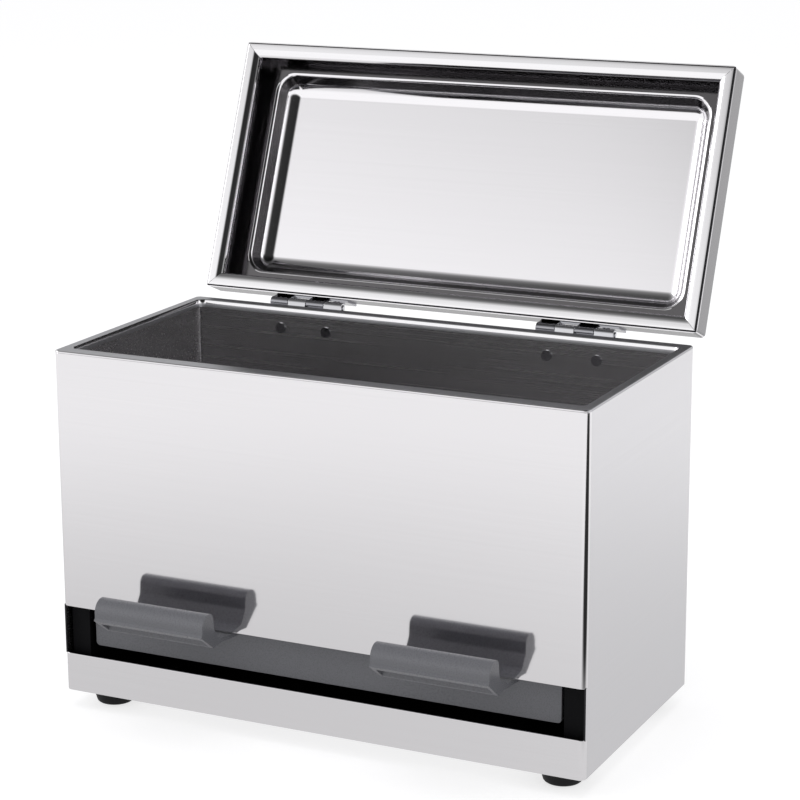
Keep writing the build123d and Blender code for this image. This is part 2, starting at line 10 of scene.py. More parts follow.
import bpy
from mathutils import Euler, Matrix, Vector


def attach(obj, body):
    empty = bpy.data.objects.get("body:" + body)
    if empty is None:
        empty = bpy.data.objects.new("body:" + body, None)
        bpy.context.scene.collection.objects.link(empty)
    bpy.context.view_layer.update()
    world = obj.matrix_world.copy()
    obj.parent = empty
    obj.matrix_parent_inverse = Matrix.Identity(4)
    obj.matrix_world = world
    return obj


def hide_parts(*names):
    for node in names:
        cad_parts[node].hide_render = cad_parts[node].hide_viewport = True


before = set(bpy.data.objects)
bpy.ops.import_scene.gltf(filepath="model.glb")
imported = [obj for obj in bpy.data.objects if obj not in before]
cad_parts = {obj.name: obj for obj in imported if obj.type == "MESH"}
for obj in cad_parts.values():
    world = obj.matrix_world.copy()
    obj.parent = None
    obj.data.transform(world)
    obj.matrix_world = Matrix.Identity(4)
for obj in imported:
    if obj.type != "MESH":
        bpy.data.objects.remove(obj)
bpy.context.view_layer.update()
MM = 0.001

# %% [markdown]
# ## Camera
#
# The photograph was taken from the front right and a little above, with a long lens, so upright edges stay
# nearly parallel. A camera is an object whose local -Z looks at the subject. Its place and its angles were
# found by fitting the corners of the box, so they are typed in as they came out.

# %% Camera
CAMERA_PLACE = (0.4336, -0.8751, 0.3804)
CAMERA_AZIMUTH = math.radians(25.76)
CAMERA_ELEVATION = math.radians(14.39)
CAMERA_ROLL = math.radians(-0.27)
CAMERA_LENS = 112.64

bpy.ops.object.select_all(action="DESELECT")
bpy.ops.object.camera_add(location=CAMERA_PLACE)
camera = bpy.context.object
camera.name = "camera"
camera.data.lens = CAMERA_LENS
camera.data.clip_start = 0.05
aim = Euler((math.pi / 2 - CAMERA_ELEVATION, 0, CAMERA_AZIMUTH)).to_matrix()
camera.rotation_euler = (aim @ Matrix.Rotation(CAMERA_ROLL, 3, "Z")).to_euler()
bpy.context.scene.camera = camera
bpy.context.scene.view_settings.view_transform = "Standard"
print("camera", CAMERA_PLACE, "lens", CAMERA_LENS)

# %% [markdown]
# ## Studio
#
# Metal shows what stands around it, so the studio matters as much as the finish. A plain white world would
# do for a matt object, but under a light that strong the shapes lose their shading. So the world has two
# strengths: it is white where the camera or a reflection looks, and dimmer as a light. The Light Path node
# tells one kind of ray from the other.

# %% Studio nodes
def ray_seen(nodes, links):
    """1 for rays of the camera, of reflections and of glass, 0 for the light itself."""
    path = nodes.new("ShaderNodeLightPath")
    first = nodes.new("ShaderNodeMath")
    first.operation = "MAXIMUM"
    links.new(path.outputs["Is Camera Ray"], first.inputs[0])
    links.new(path.outputs["Is Glossy Ray"], first.inputs[1])
    both = nodes.new("ShaderNodeMath")
    both.operation = "MAXIMUM"
    links.new(first.outputs[0], both.inputs[0])
    links.new(path.outputs["Is Transmission Ray"], both.inputs[1])
    return both.outputs[0]


# %% World
AMBIENT = 0.62

world = bpy.data.worlds.new("studio_world")
bpy.context.scene.world = world
world.use_nodes = True
wn, wl = world.node_tree.nodes, world.node_tree.links
wn.clear()
seen = ray_seen(wn, wl)
soft = wn.new("ShaderNodeBackground")
soft.inputs["Color"].default_value = (1, 1, 1, 1)
soft.inputs["Strength"].default_value = AMBIENT
white = wn.new("ShaderNodeBackground")
white.inputs["Color"].default_value = (1, 1, 1, 1)
white.inputs["Strength"].default_value = 1.0
pick = wn.new("ShaderNodeMixShader")
out = wn.new("ShaderNodeOutputWorld")
wl.new(seen, pick.inputs["Fac"])
wl.new(soft.outputs[0], pick.inputs[1])
wl.new(white.outputs[0], pick.inputs[2])
wl.new(pick.outputs[0], out.inputs["Surface"])
print("world", world.name, "as a light", AMBIENT)

# %% [markdown]
# ## Dark places of the studio
#
# Polished steel in an all-white room looks like paper. A real studio is dark behind the camera and under the
# ceiling, and these dark places draw the black lines in the bends of the sheet. Black cards round the case
# could do the same, but they would stand in the way of other views. So the world itself is darker in one
# direction and overhead, and only reflections find that.

# %% Soft dark place in one direction
DARK_TOWARDS = Vector((0.36, -0.60, 0.71)).normalized()
DARK_CORE = math.cos(math.radians(27))
DARK_EDGE = math.cos(math.radians(45))
DARK_LEVEL = 0.03

way = wn.new("ShaderNodeTexCoord")
towards = wn.new("ShaderNodeVectorMath")
towards.operation = "DOT_PRODUCT"
towards.inputs[1].default_value = DARK_TOWARDS
fade = wn.new("ShaderNodeMapRange")
fade.interpolation_type = "SMOOTHSTEP"
fade.inputs["From Min"].default_value = DARK_EDGE
fade.inputs["From Max"].default_value = DARK_CORE
fade.inputs["To Min"].default_value = 1.0
fade.inputs["To Max"].default_value = DARK_LEVEL
wl.new(way.outputs["Generated"], towards.inputs[0])
wl.new(towards.outputs["Value"], fade.inputs["Value"])
print("dark place towards", tuple(round(v, 2) for v in DARK_TOWARDS))

# %% Ceiling that darkens upwards, and both for reflections only
CEILING = ((0.45, 1.0), (0.60, 0.62), (0.80, 0.20), (0.95, 0.06))

height = wn.new("ShaderNodeSeparateXYZ")
ceiling = wn.new("ShaderNodeValToRGB")
stops = ceiling.color_ramp.elements
while len(stops) < len(CEILING):
    stops.new(1.0)
for stop, (up, bright) in zip(stops, CEILING):
    stop.position = up
    stop.color = (bright, bright, bright, 1)
wl.new(way.outputs["Generated"], height.inputs["Vector"])
wl.new(height.outputs["Z"], ceiling.inputs["Fac"])
dimmed = wn.new("ShaderNodeMath")
dimmed.operation = "MULTIPLY"
wl.new(fade.outputs["Result"], dimmed.inputs[0])
wl.new(ceiling.outputs["Color"], dimmed.inputs[1])
path = wn.new("ShaderNodeLightPath")
only_gloss = wn.new("ShaderNodeMix")
only_gloss.inputs["A"].default_value = 1.0
wl.new(path.outputs["Is Glossy Ray"], only_gloss.inputs["Factor"])
wl.new(dimmed.outputs[0], only_gloss.inputs["B"])
wl.new(only_gloss.outputs["Result"], white.inputs["Strength"])
print("ceiling stops", len(CEILING))

# %% [markdown]
# ## Floor
#
# The case stands on white paper that runs out of sight. A large plane does for it. Where the camera looks, it
# glows white and takes only a faint shadow, and for the light it is plain paper. Steel mirrors it with a
# painted shadow close to the case, and dark at one end. That gives the front its grey foot and its bends
# their lines.

# %% Floor
FLOOR_SIZE, FLOOR_HEIGHT = 8.0, -0.0002
FLOOR_GLOW = 0.70
PAPER, PAPER_SEEN = (0.8, 0.8, 0.8, 1), (0.46, 0.46, 0.47, 1)

bpy.ops.object.select_all(action="DESELECT")
bpy.ops.mesh.primitive_plane_add(size=FLOOR_SIZE, location=(0, 0, FLOOR_HEIGHT))
floor = bpy.context.object
floor.name = "floor"
floor_finish = bpy.data.materials.new("floor_white")
floor_finish.use_nodes = True
fn, fl = floor_finish.node_tree.nodes, floor_finish.node_tree.links
fn.clear()
seen = ray_seen(fn, fl)
paper = fn.new("ShaderNodeBsdfDiffuse")
paper.inputs["Color"].default_value = PAPER
thin = fn.new("ShaderNodeBsdfDiffuse")
thin.inputs["Color"].default_value = PAPER_SEEN
glow = fn.new("ShaderNodeEmission")
glow.inputs["Color"].default_value = (1, 1, 1, 1)
glow.inputs["Strength"].default_value = FLOOR_GLOW
both = fn.new("ShaderNodeAddShader")
pick = fn.new("ShaderNodeMixShader")
out = fn.new("ShaderNodeOutputMaterial")
fl.new(thin.outputs[0], both.inputs[0])
fl.new(glow.outputs[0], both.inputs[1])
fl.new(seen, pick.inputs["Fac"])
fl.new(paper.outputs[0], pick.inputs[1])
fl.new(both.outputs[0], pick.inputs[2])
print("floor glow", FLOOR_GLOW)

# %% The floor as steel reflects it
FLOOR_NEAR, FLOOR_FAR = 0.10, 0.62
FLOOR_NEAR_PAINTED_SHADE = 0.70
FLOOR_MIDDLE = (-0.08, 0.03, 0.0)
DARK_SPOT, DARK_REACH = (0.56, -0.15), (0.44, 0.26)
DARK_RISE = (0.7, 1.0)

spot = fn.new("ShaderNodeTexCoord")
far = fn.new("ShaderNodeVectorMath")
far.operation = "DISTANCE"
far.inputs[1].default_value = FLOOR_MIDDLE
# Painted shadow: seen in reflections, the floor glows less close to the case, as if the case shaded it.
level = fn.new("ShaderNodeMapRange")
level.interpolation_type = "SMOOTHSTEP"
level.inputs["From Min"].default_value = FLOOR_NEAR
level.inputs["From Max"].default_value = FLOOR_FAR
level.inputs["To Min"].default_value = FLOOR_NEAR_PAINTED_SHADE
level.inputs["To Max"].default_value = 1.0
shown = fn.new("ShaderNodeEmission")
fl.new(spot.outputs["Object"], far.inputs[0])
fl.new(far.outputs["Value"], level.inputs["Value"])
dark = fn.new("ShaderNodeMapping")
dark.inputs["Location"].default_value = (-DARK_SPOT[0] / DARK_REACH[0], -DARK_SPOT[1] / DARK_REACH[1], 0)
dark.inputs["Scale"].default_value = (1 / DARK_REACH[0], 1 / DARK_REACH[1], 0)
away = fn.new("ShaderNodeVectorMath")
away.operation = "LENGTH"
rise = fn.new("ShaderNodeMapRange")
rise.interpolation_type = "SMOOTHSTEP"
rise.inputs["From Min"].default_value, rise.inputs["From Max"].default_value = DARK_RISE
rise.inputs["To Min"].default_value = DARK_LEVEL
mixed = fn.new("ShaderNodeMath")
mixed.operation = "MULTIPLY"
fl.new(spot.outputs["Object"], dark.inputs["Vector"])
fl.new(dark.outputs["Vector"], away.inputs[0])
fl.new(away.outputs["Value"], rise.inputs["Value"])
fl.new(rise.outputs["Result"], mixed.inputs[0])
fl.new(level.outputs["Result"], mixed.inputs[1])
fl.new(mixed.outputs[0], shown.inputs["Strength"])
path = fn.new("ShaderNodeLightPath")
mirror = fn.new("ShaderNodeMixShader")
fl.new(path.outputs["Is Glossy Ray"], mirror.inputs["Fac"])
fl.new(pick.outputs[0], mirror.inputs[1])
fl.new(shown.outputs[0], mirror.inputs[2])
fl.new(mirror.outputs[0], out.inputs["Surface"])
floor.data.materials.append(floor_finish)
print("floor", floor.name, "near level", FLOOR_NEAR_PAINTED_SHADE)

# %% [markdown]
# ## Lamps
#
# The case is lit from above and from the left, and weakly from the right. Point lamps would draw hard
# shadows, so large area lamps are used. The top one isn't mirrored, since its image would be a hard white
# patch in the slopes of the lid.

# %% Lamps
def soft_lamp(name, place, size, power):
    """A square lamp that looks at the case."""
    bpy.ops.object.select_all(action="DESELECT")
    bpy.ops.object.light_add(type="AREA", location=place)
    lamp = bpy.context.object
    lamp.name = name
    lamp.data.size = size
    lamp.data.energy = power
    look = Vector((0, 0, 0.1)) - Vector(place)
    lamp.rotation_euler = look.to_track_quat("-Z", "Y").to_euler()
    return lamp


top = soft_lamp("lamp_top", (0.0, -0.2, 1.6), 1.2, 6.0)
top.visible_glossy = False
soft_lamp("lamp_left", (-1.5, -0.6, 0.9), 0.9, 6.0)
soft_lamp("lamp_right", (1.4, 0.3, 0.8), 0.9, 1.0)

# %% [markdown]
# ## Steel
#
# Steel sheet is a metallic surface with fine lines from brushing or rolling. The lines could be an image,
# but a noise that is stretched along one axis gives them at any size. The noise reads Object coordinates,
# so it stays on the piece, and it moves the roughness, the colour and a very small bump.

# %% Steel
STEEL_RELIEF = 0.00002


def steel(name, colour, rough, stretch, streak, bump, edge=1.0):
    """Metal with fine lines along the axis of the small stretch value. Edge is its glancing reflection."""
    m = bpy.data.materials.new(name)
    m.use_nodes = True
    n, l = m.node_tree.nodes, m.node_tree.links
    shader = n["Principled BSDF"]
    shader.inputs["Metallic"].default_value = 1.0
    shader.inputs["Specular Tint"].default_value = (edge, edge, edge, 1.0)
    place = n.new("ShaderNodeTexCoord")
    turn = n.new("ShaderNodeMapping")
    turn.inputs["Scale"].default_value = stretch
    lines = n.new("ShaderNodeTexNoise")
    lines.inputs["Scale"].default_value = 1.0
    lines.inputs["Detail"].default_value = 4.0
    l.new(place.outputs["Object"], turn.inputs["Vector"])
    l.new(turn.outputs["Vector"], lines.inputs["Vector"])
    tone = n.new("ShaderNodeMapRange")
    tone.inputs["To Min"].default_value = 1.0 - streak
    tone.inputs["To Max"].default_value = 1.0 + streak
    l.new(lines.outputs["Fac"], tone.inputs["Value"])
    tint = n.new("ShaderNodeVectorMath")
    tint.operation = "SCALE"
    tint.inputs[0].default_value = colour
    l.new(tone.outputs["Result"], tint.inputs["Scale"])
    l.new(tint.outputs["Vector"], shader.inputs["Base Color"])
    gloss = n.new("ShaderNodeMapRange")
    gloss.inputs["To Min"].default_value = rough * 0.8
    gloss.inputs["To Max"].default_value = rough * 1.2
    l.new(lines.outputs["Fac"], gloss.inputs["Value"])
    l.new(gloss.outputs["Result"], shader.inputs["Roughness"])
    relief = n.new("ShaderNodeBump")
    relief.inputs["Strength"].default_value = bump
    relief.inputs["Distance"].default_value = STEEL_RELIEF
    l.new(lines.outputs["Fac"], relief.inputs["Height"])
    l.new(relief.outputs["Normal"], shader.inputs["Normal"])
    return m


# %% [markdown]
# ## Plastic and rubber
#
# The rocker is a satin moulding, and the feet are matt rubber. Their colour is even and their skin has the
# fine grain of the mould. The grain could be modelled, but it is far finer than a pixel. So a noise makes it,
# as in the steel but not stretched, and moves the colour, the roughness and a small bump.

# %% Plastic and rubber
GRAIN_RELIEF = 0.00005
GRAIN_GLOSS = 0.06


def moulded(name, colour, rough, grain_size, bump, mottle, shine=0.5):
    """Plastic or rubber with a fine moulded grain."""
    m = bpy.data.materials.new(name)
    m.use_nodes = True
    n, l = m.node_tree.nodes, m.node_tree.links
    shader = n["Principled BSDF"]
    shader.inputs["Specular IOR Level"].default_value = shine
    place = n.new("ShaderNodeTexCoord")
    grain = n.new("ShaderNodeTexNoise")
    grain.inputs["Scale"].default_value = 1.0 / grain_size
    grain.inputs["Detail"].default_value = 3.0
    l.new(place.outputs["Object"], grain.inputs["Vector"])
    tone = n.new("ShaderNodeMapRange")
    tone.inputs["To Min"].default_value = 1.0 - mottle
    tone.inputs["To Max"].default_value = 1.0 + mottle
    l.new(grain.outputs["Fac"], tone.inputs["Value"])
    tint = n.new("ShaderNodeVectorMath")
    tint.operation = "SCALE"
    tint.inputs[0].default_value = colour
    l.new(tone.outputs["Result"], tint.inputs["Scale"])
    l.new(tint.outputs["Vector"], shader.inputs["Base Color"])
    gloss = n.new("ShaderNodeMapRange")
    gloss.inputs["To Min"].default_value = rough - GRAIN_GLOSS
    gloss.inputs["To Max"].default_value = rough + GRAIN_GLOSS
    l.new(grain.outputs["Fac"], gloss.inputs["Value"])
    l.new(gloss.outputs["Result"], shader.inputs["Roughness"])
    relief = n.new("ShaderNodeBump")
    relief.inputs["Strength"].default_value = bump
    relief.inputs["Distance"].default_value = GRAIN_RELIEF
    l.new(grain.outputs["Fac"], relief.inputs["Height"])
    l.new(relief.outputs["Normal"], shader.inputs["Normal"])
    return m


# %% [markdown]
# ## Table of finishes
#
# One steel doesn't do for the whole case. The front is polished, the sides and the rim are brushed, and the
# hollow of the lid mirrors the dark inside. Some finishes hold painted light: a painted dark reflection on
# the lid's low walls and hollow and, in part, on the rim, a painted highlight on the rim's slant, and painted
# shade on the lid's hinge leaf, in gaps, on hidden backs and behind the slot. The finishes stand in one
# table, so that they can be compared.
# The solids get theirs as well, because some of them show as they are, such as the ramp and the rivets.

# %% Table of finishes
ALONG_X = (6.0, 900.0, 1500.0)
ALONG_Y = (900.0, 6.0, 1500.0)
NO_WAY = (300.0, 300.0, 300.0)
FINISH = {
    "front": steel("steel_front", (0.83, 0.815, 0.835), 0.08, ALONG_X, 0.02, 0.06),
    "side": steel("steel_side", (0.72, 0.71, 0.735), 0.14, ALONG_Y, 0.03, 0.10),
    # Brushed steel, partly painted: its colour and weak glancing reflection are darkened as a painted dark
    # reflection.
    "rim": steel("steel_rim_partly_painted_reflection", (0.60, 0.60, 0.625), 0.32, ALONG_X, 0.08, 0.12, 0.45),
    "lid": steel("steel_lid", (0.95, 0.935, 0.96), 0.10, ALONG_X, 0.02, 0.06),
    "inside": steel("steel_inside", (0.78, 0.77, 0.78), 0.26, ALONG_X, 0.06, 0.08),
    "frame": steel("steel_frame", (0.94, 0.93, 0.95), 0.07, ALONG_X, 0.02, 0.05),
    # Darker steels below: a painted dark reflection on the lid's low walls and round its panel.
    "lid_wall_painted_reflection": steel("steel_lid_wall_painted_reflection", (0.25, 0.245, 0.255), 0.22, ALONG_X, 0.05, 0.10),
    "recess": steel("steel_lid_slope_painted_reflection", (0.14, 0.135, 0.14), 0.14, ALONG_X, 0.05, 0.06),
    # Near-black steel: painted shade for gaps, joints and hidden backs, not a colour of the sheet.
    "painted_shade": steel("steel_painted_shade", (0.035, 0.035, 0.038), 0.5, ALONG_X, 0.1, 0.1),
    "hinge": steel("steel_hinge", (0.66, 0.66, 0.69), 0.12, ALONG_X, 0.08, 0.1),
    # A darker copy of the hinge steel: painted shade.
    "hinge_painted_shade": steel("steel_hinge_painted_shade", (0.40, 0.40, 0.43), 0.16, ALONG_X, 0.08, 0.1),
    "zinc": steel("steel_zinc", (0.55, 0.55, 0.56), 0.3, NO_WAY, 0.08, 0.1),
    "rocker": moulded("plastic_rocker", (0.16, 0.162, 0.178), 0.28, 0.0004, 0.15, 0.05),
    # Black plastic, partly painted shade: near black, with its reflection weakened so it reads as the shade
    # in the slot.
    "tray": moulded("plastic_tray_black_and_painted_shade", (0.004, 0.004, 0.005), 0.7, 0.0005, 0.3, 0.1, 0.12),
    "bush": moulded("plastic_bush", (0.6, 0.59, 0.54), 0.3, 0.0006, 0.1, 0.03),
    "rubber": moulded("rubber_feet", (0.006, 0.006, 0.007), 0.6, 0.0005, 0.4, 0.12, 0.25),
}
print("finishes", sorted(FINISH))

# %% Finishes of the solids
NODE_FINISH = {
    "side": ["side_back_shell"],
    "front": ["front_panel", "lower_front_strip"],
    "rim": ["mouth_rim"],
    "inside": ["base_pan", "hopper_ramp"],
    "lid": ["lid_shell", "lid_rim_front", "lid_rim_back", "lid_rim_left", "lid_rim_right"],
    "hinge": ["hinge_box_rivets", "hinge_lid_rivets", "left_hinge_box_leaf", "left_hinge_lid_leaf",
              "left_hinge_pin", "right_hinge_box_leaf", "right_hinge_lid_leaf", "right_hinge_pin"],
    "zinc": ["tray_screws", "foot_screws", "foot_nuts", "rocker_axle", "counterweight_bar"],
    "rocker": ["rocker"],
    "tray": ["mechanism_tray"],
    "bush": ["left_axle_bush", "right_axle_bush"],
    "rubber": ["rest_pad", "foot_front_left", "foot_back_left", "foot_front_right", "foot_back_right"],
}


def dress(obj, finish):
    """Put one finish on a piece or a solid."""
    obj.data.materials.clear()
    obj.data.materials.append(FINISH[finish])


for finish, names in NODE_FINISH.items():
    for name in names:
        dress(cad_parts[name], finish)
print("dressed", sum(len(v) for v in NODE_FINISH.values()), "of", len(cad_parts))

# %% [markdown]
# ## Modelling tools
#
# Nearly every piece of the case is thin sheet, folded. In Blender such a piece starts as a flat plane or a
# box at its real place, gets its folds by extruding edges, its soft bends by bevelling, and its thickness
# last, from Solidify. The helpers below pick faces and edges by where they are, because nobody clicks here.
# They take millimetres, the unit of the drawing, while Blender keeps metres. A tenth of a millimetre or less
# in a test is only the slack of the picking.

# %% Helpers to start a piece
import bmesh


def plane(name, place, size, turn=(0, 0, 0)):
    """A flat sheet at its place, opened for editing."""
    bpy.ops.object.select_all(action="DESELECT")
    bpy.ops.mesh.primitive_plane_add(size=1.0, location=Vector(place) * MM, rotation=turn)
    return opened_piece(name, (size[0], size[1], 1.0 / MM))


def block(name, low, high):
    """A box between two corners, opened for editing."""
    low, high = Vector(low), Vector(high)
    bpy.ops.object.select_all(action="DESELECT")
    bpy.ops.mesh.primitive_cube_add(size=1.0, location=(low + high) / 2 * MM)
    return opened_piece(name, high - low)


def drum(name, place, radius, height, sides=48, turn=(0, 0, 0)):
    """A round bar at its place, opened for editing."""
    bpy.ops.object.select_all(action="DESELECT")
    bpy.ops.mesh.primitive_cylinder_add(vertices=sides, radius=radius * MM, depth=height * MM,
                                        location=Vector(place) * MM, rotation=turn)
    return opened_piece(name, (1.0 / MM,) * 3)


def opened_piece(name, size):
    """Name and size the new primitive, and go into edit mode."""
    obj = bpy.context.object
    obj.name = obj.data.name = name
    obj.scale = [v * MM for v in size]
    bpy.ops.object.transform_apply(location=True, rotation=True, scale=True)
    bpy.ops.object.mode_set(mode="EDIT")
    return obj


# %% Helpers to select and shape
def choose(obj, kind, test):
    """Select the faces, edges or points whose middle and direction pass the test."""
    bpy.ops.mesh.select_mode(type=kind)
    bpy.ops.mesh.select_all(action="DESELECT")
    bm = bmesh.from_edit_mesh(obj.data)
    count = 0
    for item in {"FACE": bm.faces, "EDGE": bm.edges, "VERT": bm.verts}[kind]:
        if kind == "FACE":
            middle, way = item.calc_center_median(), item.normal
        elif kind == "EDGE":
            a, b = item.verts[0].co, item.verts[1].co
            middle, way = (a + b) / 2, (b - a).normalized()
        else:
            middle, way = item.co, item.normal
        if test(middle / MM, way):
            item.select_set(True)
            count += 1
    bm.select_flush_mode()
    bmesh.update_edit_mesh(obj.data)
    return count


def extend(obj, test, move):
    """Extrude the chosen edges by a move in millimetres."""
    count = choose(obj, "EDGE", test)
    bpy.ops.mesh.extrude_edges_move(TRANSFORM_OT_translate={"value": Vector(move) * MM})
    return count


def soften(obj, test, radius, steps):
    """Bevel the chosen edges into a bend."""
    count = choose(obj, "EDGE", test)
    bpy.ops.mesh.bevel(offset=radius * MM, segments=steps, profile=0.5, affect="EDGES", clamp_overlap=False)
    return count


def look_out(obj, test, way):
    """Merge doubles and turn the faces, so that the chosen ones look the given way."""
    bpy.ops.mesh.select_mode(type="FACE")
    bpy.ops.mesh.select_all(action="SELECT")
    bpy.ops.mesh.remove_doubles(threshold=0.000002)
    bpy.ops.mesh.normals_make_consistent(inside=False)
    bm = bmesh.from_edit_mesh(obj.data)
    sides = [f.normal.dot(Vector(way)) for f in bm.faces if test(f.calc_center_median() / MM, f.normal)]
    if sum(sides) < 0:
        bpy.ops.mesh.flip_normals()


# %% Helpers to finish a piece
def give_thickness(obj, thickness, even=True):
    """Grow the sheet inwards, behind its faces. Tiny corner faces need even to be off, or they shoot out."""
    bpy.ops.object.mode_set(mode="OBJECT")
    wall = obj.modifiers.new("thickness", "SOLIDIFY")
    wall.thickness = thickness * MM
    wall.offset = -1.0
    wall.use_even_offset = even
    bpy.ops.object.modifier_apply(modifier=wall.name)


def break_edges(obj, width, steps=2, limit=50):
    """Take the sharpness off the edges that are left, as deburring does."""
    if obj.mode == "EDIT":
        bpy.ops.object.mode_set(mode="OBJECT")
    edge = obj.modifiers.new("edges", "BEVEL")
    edge.width = width * MM
    edge.segments = steps
    edge.limit_method = "ANGLE"
    edge.angle_limit = math.radians(limit)
    bpy.ops.object.modifier_apply(modifier=edge.name)


def hand_over(obj, body, finish, nodes, smooth=35):
    """Smooth a piece, finish it, tie it to its body and hide the solids it stands for. Large faces mirror as
    flat ones.
    """
    if obj.mode == "EDIT":
        bpy.ops.object.mode_set(mode="OBJECT")
    bpy.ops.object.select_all(action="DESELECT")
    obj.select_set(True)
    bpy.context.view_layer.objects.active = obj
    bpy.ops.object.shade_smooth_by_angle(angle=math.radians(smooth))
    flat = obj.modifiers.new("normals", "WEIGHTED_NORMAL")
    flat.keep_sharp = True
    bpy.ops.object.modifier_apply(modifier=flat.name)
    if finish:
        dress(obj, finish)
    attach(obj, body)
    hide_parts(*nodes)
    size = [round(v / MM, 1) for v in obj.dimensions]
    print(obj.name, "on", body, "size", size, "faces", len(obj.data.polygons))


def second_finish(obj, finish, test):
    """Give the chosen faces of a dressed piece another finish."""
    obj.data.materials.append(FINISH[finish])
    number = len(obj.data.materials) - 1
    count = 0
    for face in obj.data.polygons:
        if test(face.center / MM, face.normal):
            face.material_index = number
            count += 1
    print(obj.name, "has", count, "faces in", finish)


def joined(obj, others):
    """One piece out of several."""
    bpy.ops.object.select_all(action="DESELECT")
    for other in others + [obj]:
        other.select_set(True)
    bpy.context.view_layer.objects.active = obj
    bpy.ops.object.join()
    return obj


def moved_copy(obj, name, move):
    """A copy with its own mesh, put elsewhere by a matrix and applied there."""
    bpy.ops.object.select_all(action="DESELECT")
    twin = obj.copy()
    twin.data = obj.data.copy()
    twin.name = twin.data.name = name
    bpy.context.collection.objects.link(twin)
    place_applied(twin, move)
    return twin


def place_applied(obj, move):
    """Move a finished piece by a matrix and bring its object back to the origin."""
    bpy.ops.object.select_all(action="DESELECT")
    obj.select_set(True)
    bpy.context.view_layer.objects.active = obj
    obj.matrix_world = move @ obj.matrix_world
    bpy.ops.object.transform_apply(location=True, rotation=True, scale=True)


# %% [markdown]
# ## Walls of the case
#
# Both sides and the back are bent from one sheet. It could be a long strip that is bent twice, but a box
# without its top, floor and front is that sheet already: its two back corners become bends, and Solidify
# gives the 0.8 mm. Narrow returns stand behind the front panel's edges, and the shade in that gap is painted
# on them as a near-black finish. Beside the slot the walls' own edges show, so a short edge is added there on
# each side, and most of its faces take the same painted shade.

# %% Bent wall sheet
SHEET = 0.8
HALF = 115.0
FRONT, BACK = -57.5, 57.5
BASE, TOP = 7.5, 151.5
WALL_TOP = TOP - SHEET
BEND = 2.5
WALL_EDGE = 0.18

walls = block("case_walls", (-HALF, FRONT + BEND, BASE), (HALF, BACK, WALL_TOP))
choose(walls, "FACE", lambda p, n: abs(n.z) > 0.9 or n.y < -0.9)
bpy.ops.mesh.delete(type="FACE")
bends = soften(walls, lambda p, d: p.y > BACK - 0.1 and abs(d.z) > 0.9, BEND, 6)
look_out(walls, lambda p, n: p.y > BACK - 0.1, (0, 1, 0))
give_thickness(walls, SHEET)
break_edges(walls, WALL_EDGE)
print("bends", bends)

# %% Returns behind the front panel, and the sides' edges beside the slot
SLOT_LOW, SLOT_TOP = 23.7, 44.0
RETURN_X = (HALF - SHEET - 10, HALF - 3)
RETURN_Y = (FRONT + SHEET, FRONT + SHEET + SHEET)
RETURN_SPANS = ((BASE, 22.1), (52.3, WALL_TOP))
EDGE_Y = (FRONT + 1.0, FRONT + BEND + 0.2)
EDGE_LAP = 0.4
EXTRA_EDGE = 0.15

bars = [(RETURN_X, RETURN_Y, span) for span in RETURN_SPANS]
bars.append(((HALF - SHEET, HALF), EDGE_Y, (SLOT_LOW - EDGE_LAP, SLOT_TOP + EDGE_LAP)))
extras = []
for side in (-1, 1):
    for xs, ys, zs in bars:
        xs = sorted(side * x for x in xs)
        extra = block("extra", (xs[0], ys[0], zs[0]), (xs[1], ys[1], zs[1]))
        break_edges(extra, EXTRA_EDGE)
        extras.append(extra)
walls = joined(walls, extras)
print("added bars", len(extras))

# %% Finishes of the walls
hand_over(walls, "case", "side", ["side_back_shell"])
# Painted shade: the returns and the edges beside the slot are near black, for the shade in the gaps.
second_finish(walls, "painted_shade", lambda p, n: (p.y < FRONT + BEND and abs(n.x) < 0.9)
              or (abs(p.x) < HALF - 2 and p.y < 0))
second_finish(walls, "inside", lambda p, n: (abs(p.x) < HALF - 0.5 and n.x * p.x < -0.5 * abs(p.x))
              or (p.y < BACK - 0.5 and n.y < -0.5 and p.y > 0))

# %% [markdown]
# ## Front panel
#
# The polished front panel hangs over the slot. Its sides are bent back to meet the side walls, and the bend
# shows as one dark upright line, because it mirrors the dark end of the table. A hem behind the lower edge
# keeps the sheet straight and the edge blunt. A box could be emptied as for the walls, but here only two
# short sides are bent. So it is a plane whose side edges are extruded and bevelled.

# %% Front sheet with bent sides
SIDE_LAP = 0.4
FRONT_EDGE = 0.3


def front_sheet(name, low, high):
    """Upright sheet across the front, its sides bent back onto the walls."""
    obj = plane(name, (0, FRONT, (low + high) / 2), (2 * HALF, high - low), (math.pi / 2, 0, 0))
    for side in (-1, 1):
        extend(obj, lambda p, d: side * p.x > HALF - 0.1 and abs(d.z) > 0.9 and p.y < FRONT + 0.1,
               (0, BEND + SIDE_LAP, 0))
    bends = soften(obj, lambda p, d: abs(p.x) > HALF - 0.1 and abs(d.z) > 0.9 and p.y < FRONT + 0.1, BEND, 8)
    look_out(obj, lambda p, n: p.y < FRONT + 0.05, (0, -1, 0))
    give_thickness(obj, SHEET)
    break_edges(obj, FRONT_EDGE, 3)
    print(name, "bends", bends)
    return obj


# %% Front panel
HEM_INSET, HEM_HEIGHT, HEM_BEND = 4.0, 7.5, 0.5

front = front_sheet("front_panel_sheet", SLOT_TOP, WALL_TOP)
hem = block("hem", (-HALF + HEM_INSET, FRONT + SHEET, SLOT_TOP),
            (HALF - HEM_INSET, FRONT + 2 * SHEET, SLOT_TOP + HEM_HEIGHT))
soften(hem, lambda p, d: p.z < SLOT_TOP + 0.1 and p.y > FRONT + 1.5 and abs(d.x) > 0.9, HEM_BEND, 4)
bpy.ops.object.mode_set(mode="OBJECT")
front = joined(front, [hem])
hand_over(front, "case", "front", ["front_panel"])

